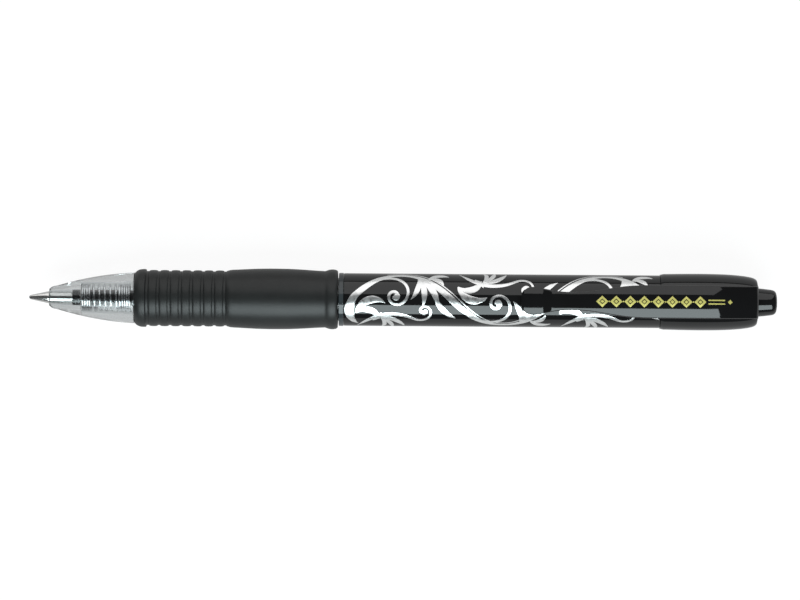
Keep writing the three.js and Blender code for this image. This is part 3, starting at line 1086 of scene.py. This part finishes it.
class PEN_OT_clip_ornament(Operator):
    """Gold lozenges between plain bars, printed along the clip"""

    bl_idname = "pen.clip_ornament"
    bl_label = "Clip ornament"

    print_height = 12
    print_thickness = 0.024
    lozenge_count = 8
    first_lozenge = 109.2
    pitch = 2.64

    def tile(self, station, out, length, width, lozenge=False, hollow=0.0):
        """One flat motif above the clip: a bar or a lozenge, with its middle open if hollow."""
        deselect()
        centre = at(station, out, self.print_height)
        bpy.ops.mesh.primitive_grid_add(
            x_subdivisions=12,
            y_subdivisions=12,
            size=MM,
            location=centre,
            rotation=(0, 0, math.radians(45) if lozenge else 0),
        )
        motif = bpy.context.object
        settle(motif)
        side = math.sqrt(2) if lozenge else 1
        open_mesh()
        bpy.ops.transform.resize(value=(length / side, width / side, 1), center_override=centre)
        if hollow:
            mesh = bmesh.from_edit_mesh(motif.data)
            bpy.ops.mesh.select_all(action="DESELECT")
            for face in mesh.faces:
                middle = face.calc_center_median() - centre
                reach = abs(middle.x) / (length / 2) + abs(middle.y) / (width / 2)
                face.select = reach < hollow * MM
            bmesh.update_edit_mesh(motif.data)
            bpy.ops.mesh.delete(type="FACE")
        bpy.ops.object.mode_set(mode="OBJECT")
        return motif

    def execute(self, context):
        height = sizes().lozenge_height / MM
        motifs = []
        for i in range(self.lozenge_count):
            station = self.first_lozenge + self.pitch * i
            motifs.append(self.tile(station, 0, 2.3, height, lozenge=True, hollow=0.56))
            motifs.append(self.tile(station, 0, 0.75, height * 0.32, lozenge=True))
            if i:
                between = station - self.pitch / 2
                motifs.append(self.tile(between, 0, 0.36, 0.36, lozenge=True))
        for out in (-0.34, 0.34):
            motifs.append(self.tile(130.8, out, length=3.2, width=0.24))
        motifs.append(self.tile(133.4, 0, 0.9, height * 0.4, lozenge=True))
        pick(*motifs)
        bpy.ops.object.join()
        ornament = bpy.context.object
        ornament.name = "clip_ornament"
        modify(
            ornament,
            "SHRINKWRAP",
            target=bpy.data.objects["pocket_clip"],
            wrap_method="PROJECT",
            use_project_z=True,
            use_negative_direction=True,
            use_positive_direction=False,
        )
        modify(ornament, "SOLIDIFY", thickness=self.print_thickness * MM, offset=0.6)
        open_mesh()
        close_mesh()
        dress(ornament, "gold_ink", 40)
        flex_with_clip(ornament)
        return {"FINISHED"}


# ---- foil scrollwork


def width_at(widths, share):
    """Half width a share of the way along a stroke, eased between widths given at even steps."""
    place = share * (len(widths) - 1)
    i = min(int(place), len(widths) - 2)
    ease = smoothstep(place - i)
    return widths[i] + (widths[i + 1] - widths[i]) * ease


def smoothstep(share):
    return share * share * (3 - 2 * share)


def stroke(start, heading, length, turn_by, widths, steps):
    """A brush stroke on an arc, in the unrolled barrel's plane.

    Its points are millimetres along the pen, millimetres round it, and half the stroke's width.
    """
    x, y = start
    points = []
    for i in range(steps + 1):
        share = i / steps
        points.append((x, y, width_at(widths, share)))
        bearing = heading + turn_by * (share + 0.5 / steps)
        x += math.cos(bearing) * length / steps
        y += math.sin(bearing) * length / steps
    return points


def volute(start, heading, wide, tight, turn_by, weight):
    """A tendril that winds in on itself, from a wide radius to a tight one, and its round bud."""
    steps = 30
    x, y = start
    points = []
    widths = [weight * share for share in (1, 0.8, 0.72, 0.9, 1.2)]
    for i in range(steps + 1):
        share = i / steps
        points.append((x, y, width_at(widths, share)))
        radius = wide * (tight / wide) ** (share + 0.5 / steps)
        bearing = heading + turn_by * (share + 0.5 / steps)
        x += math.cos(bearing) * abs(turn_by) / steps * radius
        y += math.sin(bearing) * abs(turn_by) / steps * radius
    bud_turn = math.copysign(2.4, turn_by)
    bud_widths = (weight, tight * 1.3, tight * 1.5, tight * 1.2, 0.1)
    bud = stroke(points[-3][:2], heading + turn_by * 0.95, tight * 2.6, bud_turn, bud_widths, 6)
    return [points, bud]


def lobe(start, heading, length, width, bend):
    """A comma-shaped lobe: a narrow root, a full belly and a pointed, turned tip."""
    widths = [width * share for share in (0.2, 0.62, 0.98, 1, 0.66, 0.04)]
    return stroke(start, heading, length, bend, widths, 9)


def acanthus(start, heading, length, width, bend, lobes, spread):
    """A leaf of nested lobes from one root, each shorter and more turned than the last."""
    leaf = []
    for k in range(lobes):
        bearing = heading + math.copysign(spread, bend) * k
        reach = length * (1 - 0.17 * k)
        leaf.append(lobe(start, bearing, reach, width * (1 - 0.1 * k), bend * (1 + 0.12 * k)))
    return leaf


class PEN_OT_foil_scroll(Operator):
    """Silver foil vine with winding tendrils and leaves, wrapped round the barrel"""

    bl_idname = "pen.foil_scroll"
    bl_label = "Foil scroll"

    first = 61.5
    stem_start = 62.8
    last = 120.3
    layer = 0.0016
    least_half_width = 0.015
    brush_top = (
        (-1, 0.012), (-0.9, 0.03), (-0.45, 0.036),
        (0, 0.038),
        (0.45, 0.036), (0.9, 0.03), (1, 0.012),
    )
    brush_under = -0.03

    def swing(self, x):
        """How far round the barrel the vine stands at a station."""
        turned = math.pi * (x - self.first) * MM / sizes().scroll_bay
        return sizes().scroll_reach / MM * math.sin(turned)

    def bearing(self, x):
        step = 0.1
        return math.atan((self.swing(x + step) - self.swing(x - step)) / (2 * step))

    def stem(self):
        """The vine, a hair line that runs beside it, and the full heel it springs from."""
        count = 48
        reach = sizes().scroll_reach / MM
        stem, hair = [], []
        for i in range(count + 1):
            x = self.stem_start + (self.last - self.stem_start) * i / count
            slant = math.sqrt(1 - min(1, self.swing(x) / reach) ** 2)
            weight = 0.3 + 0.32 * slant**1.5
            taper = min(1.0, 0.15 + (count - i) / 6)
            stem.append((x, self.swing(x), weight * taper))
            across = self.bearing(x) + math.pi / 2
            gap = weight + 0.34
            hair.append((x + gap * math.cos(across), self.swing(x) + gap * math.sin(across), 0.1))
        heel_widths = (0.6, 0.7, 0.86, 0.84, 0.52, 0.04)
        back = self.bearing(self.stem_start) + math.pi
        heel = stroke(stem[0][:2], back, 7.6, 1.75, heel_widths, 14)
        return [stem, hair[5:-6], heel]

    def bay(self, crest):
        """Tendrils and leaves of one swing of the vine that has its crest at the top."""

        def vine(x, out=0.0):
            return (x, abs(self.swing(crest + x)) + out)

        arch = stroke((-8.4, -6.5), 0.98, 12.2, -1.5, (0.05, 0.34, 0.42, 0.36, 0.27), 14)
        return [
            *volute(vine(-4.9, -0.15), 0.62, 4.9, 0.5, -8.6, 0.32),
            *acanthus((-8.6, -2.6), 1.3, 6.9, 0.74, -1.9, 2, 0.56),
            *acanthus(vine(3.3, -0.2), -0.62, 7.6, 0.62, -0.8, 3, 0.38),
            stroke((6.3, 0.9), -1.25, 6.4, 0.8, (0.06, 0.42, 0.56, 0.42, 0.04), 10),
            arch,
            *volute(arch[-1][:2], -0.52, 2.7, 0.42, 6.7, 0.26),
            *acanthus((-3.9, -3.7), 0.1, 5.8, 0.5, -1.3, 3, 0.42),
            lobe((-5.4, -4.4), 0.62, 2.6, 0.4, 0.5),
            *acanthus(vine(5.2, 0.6), 0.95, 4.4, 0.5, -1.5, 2, 0.6),
        ]

    def vine(self):
        strokes = self.stem()
        bay = sizes().scroll_bay / MM
        for k in range(3):
            hand = 1 if k % 2 == 0 else -1
            crest = self.first + bay * (k + 0.5)
            for points in self.bay(crest):
                strokes.append([(crest + x, hand * y, width) for x, y, width in points])
        return strokes

    def lay_out(self, name, strokes):
        """The strokes as one flat mesh, x along the pen and y round the barrel, slightly thick."""
        brush = bpy.data.curves.new(name + "_brush", "CURVE")
        brush.dimensions = "2D"
        edge = brush.splines.new("POLY")
        outline = [*self.brush_top, *((x, self.brush_under) for x, _ in reversed(self.brush_top))]
        edge.points.add(len(outline) - 1)
        for knot, (x, y) in zip(edge.points, outline):
            knot.co = (x, y, 0, 1)
        edge.use_cyclic_u = True
        brush_object = bpy.data.objects.new(name + "_brush", brush)
        bpy.context.collection.objects.link(brush_object)
        lines = bpy.data.curves.new(name, "CURVE")
        lines.dimensions = "3D"
        lines.twist_mode = "Z_UP"
        lines.bevel_mode = "OBJECT"
        lines.bevel_object = brush_object
        lines.use_fill_caps = True
        lines.resolution_u = 3
        for order, points in enumerate(strokes):
            line = lines.splines.new("BEZIER")
            line.bezier_points.add(len(points) - 1)
            height = sizes().foil_height + (order % 9) * self.layer * MM
            for knot, (x, y, width) in zip(line.bezier_points, points):
                knot.co = (along(x), y * MM, height)
                knot.radius = max(width, self.least_half_width) * MM
                knot.handle_left_type = knot.handle_right_type = "AUTO"
        piece = bpy.data.objects.new(name, lines)
        bpy.context.collection.objects.link(piece)
        pick(piece)
        bpy.ops.object.convert(target="MESH")
        bpy.data.objects.remove(brush_object)
        return bpy.context.object

    def wrap(self, piece, angle):
        """Bends the flat foil round the barrel, its middle line at an angle from the top."""
        quarter = math.pi / 2
        radius = BARREL_RADIUS * MM
        piece.rotation_euler = (quarter, 0, 0)
        settle(piece)
        heights = [v.co.z for v in piece.data.vertices]
        angle_round = (max(heights) - min(heights)) / radius
        modify(piece, "SIMPLE_DEFORM", deform_method="BEND", deform_axis="X", angle=angle_round)
        piece.rotation_euler = (-quarter, 0, 0)
        piece.location = (0, 0, radius)
        settle(piece)
        piece.rotation_euler = (-angle, 0, 0)
        piece.location = AXIS_POINT * Vector((0, 1, 1))
        settle(piece)

    def execute(self, context):
        for name, angle in (("foil_scroll_upper", 0), ("foil_scroll_under", math.pi)):
            piece = self.lay_out(name, self.vine())
            piece.name = name
            self.wrap(piece, angle)
            dress(piece, "silver_foil", 40)
            stand_for(piece, "barrel")
        return {"FINISHED"}


# ---- push mechanism


class PEN_OT_push_button(Operator):
    """Push button: a domed end on a stem with four guide fins and a crown of cam teeth"""

    bl_idname = "pen.push_button"
    bl_label = "Push button"

    def execute(self, context):
        body = turn("button", [
            (125, 0), (124.6, 1.05), (STEM_START, 1.05), (STEM_START, 2.15, 0.1),
            (129.5, 2.15, 0.1), (129.6, 2.75, 0.15), (CAP_END + 0.1, 2.74), (140.6, 2.61),
            (141.8, 2.47), (142.25, 2.39), (142.55, 2.27), (142.78, 2.08), (142.92, 1.82),
            (BUTTON_END, 1.48), (BUTTON_END, 0),
        ])
        fins = repeat_round(fin("fins", 119.9, 122, inner=1.5, outer=3, width=1), 4)
        combine(body, fins, "UNION")
        start, end = STEM_START - 0.3, STEM_START + 0.3
        notch = fin("notches", start, end, inner=0.8, outer=3, width=0.6, rounding=0.05)
        combine(body, repeat_round(notch, 8, math.pi / 8), "DIFFERENCE")
        dress(body, "gloss_black_plastic")
        stand_for(body, "button", "push_button")
        return {"FINISHED"}


class PEN_OT_index_rotor(Operator):
    """Cam rotor: a pin, a collar and four fins with sloping rear ends"""

    bl_idname = "pen.index_rotor"
    bl_label = "Index rotor"

    collar_end = 118.4
    ramp_station = 118.05

    def execute(self, context):
        body = turn("cam_rotor", [
            (ROTOR_FRONT, 0), (ROTOR_FRONT, 1.4), (112.3, 2, 0.2), (self.collar_end, 2, 0.25),
            (self.collar_end, 0.92), (ROTOR_REAR, 0.92), (ROTOR_REAR, 0.6), (ROTOR_REAR, 0),
        ], 64)
        vane = fin("vanes", 115.2, self.collar_end, inner=1.6, outer=3, width=1)
        self.slope(vane)
        combine(body, repeat_round(vane, 4), "UNION")
        dress(body, "cam_plastic")
        stand_for(body, "rotor", "index_rotor")
        return {"FINISHED"}

    def slope(self, vane):
        """Cuts the rear end of a vane to a ramp."""
        pick(vane)
        open_mesh()
        ramp = at(self.ramp_station)
        bpy.ops.mesh.bisect(plane_co=ramp, plane_no=(1, 0.7, 0), clear_outer=True, use_fill=True)
        bpy.ops.object.mode_set(mode="OBJECT")


class PEN_OT_springs(Operator):
    """Return spring with closed ends, and the hair spring that seats the writing ball"""

    bl_idname = "pen.springs"
    bl_label = "Springs"

    def execute(self, context):
        wire, coil_radius = 0.21, 2.52
        closed_pitch, open_pitch = 0.46, 1.05
        front_turns, open_turns = 3.5, 5
        first = SPRING_FRONT + wire
        last = SPRING_REAR - wire
        rear_turns = (last - first - open_turns * open_pitch) / closed_pitch - front_turns
        turns = front_turns + open_turns + rear_turns

        def place(share):
            turned = share * turns
            opened = max(0.0, min(open_turns, turned - front_turns))
            return first + (turned - opened) * closed_pitch + opened * open_pitch

        spring = wound("refill_spring", place, coil_radius, wire, turns, steps_per_turn=40, sides=3)
        dress(spring, "spring_steel", 60)
        open_front = first + front_turns * closed_pitch
        open_rear = open_front + open_turns * open_pitch
        at(open_front)
        at(open_rear)
        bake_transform(spring)
        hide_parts("return_spring")
        seat_front, seat_rear = span("ball_seat_spring")
        hair, hair_coil, hair_turns = 0.045, 0.22, 6

        def seat_place(share):
            return seat_front + hair + (seat_rear - seat_front - 2 * hair) * share

        seat = wound("hair_spring", seat_place, hair_coil, hair, hair_turns, 24, 2)
        dress(seat, "spring_steel", 60)
        stand_for(seat, "refill", "ball_seat_spring")
        return {"FINISHED"}


# ---- refill


class PEN_OT_writing_point(Operator):
    """Turned metal point with its collar, and the writing ball in its lip"""

    bl_idname = "pen.writing_point"
    bl_label = "Writing point"

    def execute(self, context):
        lip = BALL_RADIUS + 0.03
        point = ring("metal_point", [
            (POINT_FRONT, BALL_RADIUS - 0.004), (POINT_FRONT, 0.41, 0.02),
            (3.7, POINT_RADIUS, 0.25), (8.4, POINT_RADIUS, 0.04), (8.4, 0.9),
            (POINT_REAR, 0.9, 0.1), (POINT_REAR, 0.33), (0.98, 0.33), (0.8, 0.22), (0.76, lip),
            (0.36, lip),
        ], 96)
        dress(point, "point_metal")
        stand_for(point, "refill", "tip_point")
        arc_steps = 24
        outline = []
        for i in range(arc_steps + 1):
            angle = math.pi * i / arc_steps
            radius = max(0.0, BALL_RADIUS * math.sin(angle))
            outline.append((BALL_RADIUS * (1 - math.cos(angle)), radius))
        ball = turn("writing_ball", outline, 48)
        dress(ball, "carbide", 60)
        stand_for(ball, "ball", "tip_ball")
        return {"FINISHED"}


class PEN_OT_refill(Operator):
    """Refill: black tip holder, clear tube, ink, follower grease and tail plug"""

    bl_idname = "pen.refill"
    bl_label = "Refill"

    bore = 2.6
    ink_radius = 2.4
    dish_depth = 0.8

    def pieces(self):
        """Each piece's name, CAD node, slot, way of making, and outline."""
        ink = self.ink_radius
        dish = []
        for i in range(8, -1, -1):
            dish.append((FOLLOWER_REAR - self.dish_depth * (1 - (i / 8) ** 2), ink * i / 8))
        yield "point_holder", "tip_holder", "holder_plastic", ring, [
            (HOLDER_FRONT, 1.1), (HOLDER_FRONT, 1.475, 0.14), (20, 1.475, 0.15),
            (20.2, TUBE_RADIUS, 0.12), (21.1, TUBE_RADIUS, 0.1), (21.1, 2.4, 0.05),
            (HOLDER_REAR, 2.4, 0.2), (HOLDER_REAR, 0.6), (12.3, 0.6), (12.3, 1.1),
        ]
        yield "clear_tube", "refill_tube", "clear_tube_plastic", ring, [
            (TUBE_FRONT, self.bore, 0.08), (TUBE_FRONT, TUBE_RADIUS, 0.1),
            (TUBE_REAR, TUBE_RADIUS, 0.1), (TUBE_REAR, self.bore, 0.08),
        ]
        yield "gel_column", "ink_column", "gel_ink", turn, [
            (INK_FRONT, 0), (INK_FRONT, 2.3), (INK_FRONT + 0.1, ink), (INK_REAR, ink),
            (INK_REAR - 0.2, 2.2), (INK_REAR - 0.4, 0),
        ]
        yield "grease_plug", "ink_follower", "follower_grease", turn, [
            (FOLLOWER_FRONT, 0), (FOLLOWER_FRONT, 2.3), (FOLLOWER_FRONT + 0.1, ink), *dish,
        ]
        yield "refill_tail", "tail_plug", "plug_plastic", ring, [
            (PLUG_FRONT, 0.5), (PLUG_FRONT, 2.4, 0.3), (108.75, 2.4), (108.75, 2.9, 0.1),
            (PLUG_REAR, 2.9, 0.25), (PLUG_REAR, 0.5, 0.1),
        ]

    def execute(self, context):
        for name, node, slot, make, corners in self.pieces():
            piece = make(name, corners, 96)
            dress(piece, slot)
            stand_for(piece, "refill", node)
        return {"FINISHED"}


# ---- panel and registering


STEPS = (
    PEN_OT_stage,
    PEN_OT_front_barrel,
    PEN_OT_grip_sleeve,
    PEN_OT_upper_barrel,
    PEN_OT_rear_cap,
    PEN_OT_clip,
    PEN_OT_clip_ornament,
    PEN_OT_foil_scroll,
    PEN_OT_push_button,
    PEN_OT_index_rotor,
    PEN_OT_springs,
    PEN_OT_writing_point,
    PEN_OT_refill,
)


class PEN_PT_sidebar(Panel):
    """The pen's sizes, colours and building steps"""

    bl_idname = "PEN_PT_sidebar"
    bl_label = "Gel Pen"
    bl_space_type = "VIEW_3D"
    bl_region_type = "UI"
    bl_category = "Gel Pen"

    def draw(self, context):
        for group in (sizes(), colours(), studio()):
            box = self.layout.box()
            for name in group.__annotations__:
                box.prop(group, name)
        for step in STEPS:
            self.layout.operator(step.bl_idname)


CLASSES = (PenSizes, PenColours, PenStudio, *STEPS, PEN_PT_sidebar)


def register():
    for made in CLASSES:
        bpy.utils.register_class(made)
    bpy.types.Scene.pen_sizes = PointerProperty(type=PenSizes)
    bpy.types.Scene.pen_colours = PointerProperty(type=PenColours)
    bpy.types.Scene.pen_studio = PointerProperty(type=PenStudio)


def unregister():
    del bpy.types.Scene.pen_studio
    del bpy.types.Scene.pen_colours
    del bpy.types.Scene.pen_sizes
    for made in reversed(CLASSES):
        bpy.utils.unregister_class(made)


def main():
    register()
    for step in STEPS:
        group, name = step.bl_idname.split(".")
        getattr(getattr(bpy.ops, group), name)()


if __name__ == "__main__":
    main()
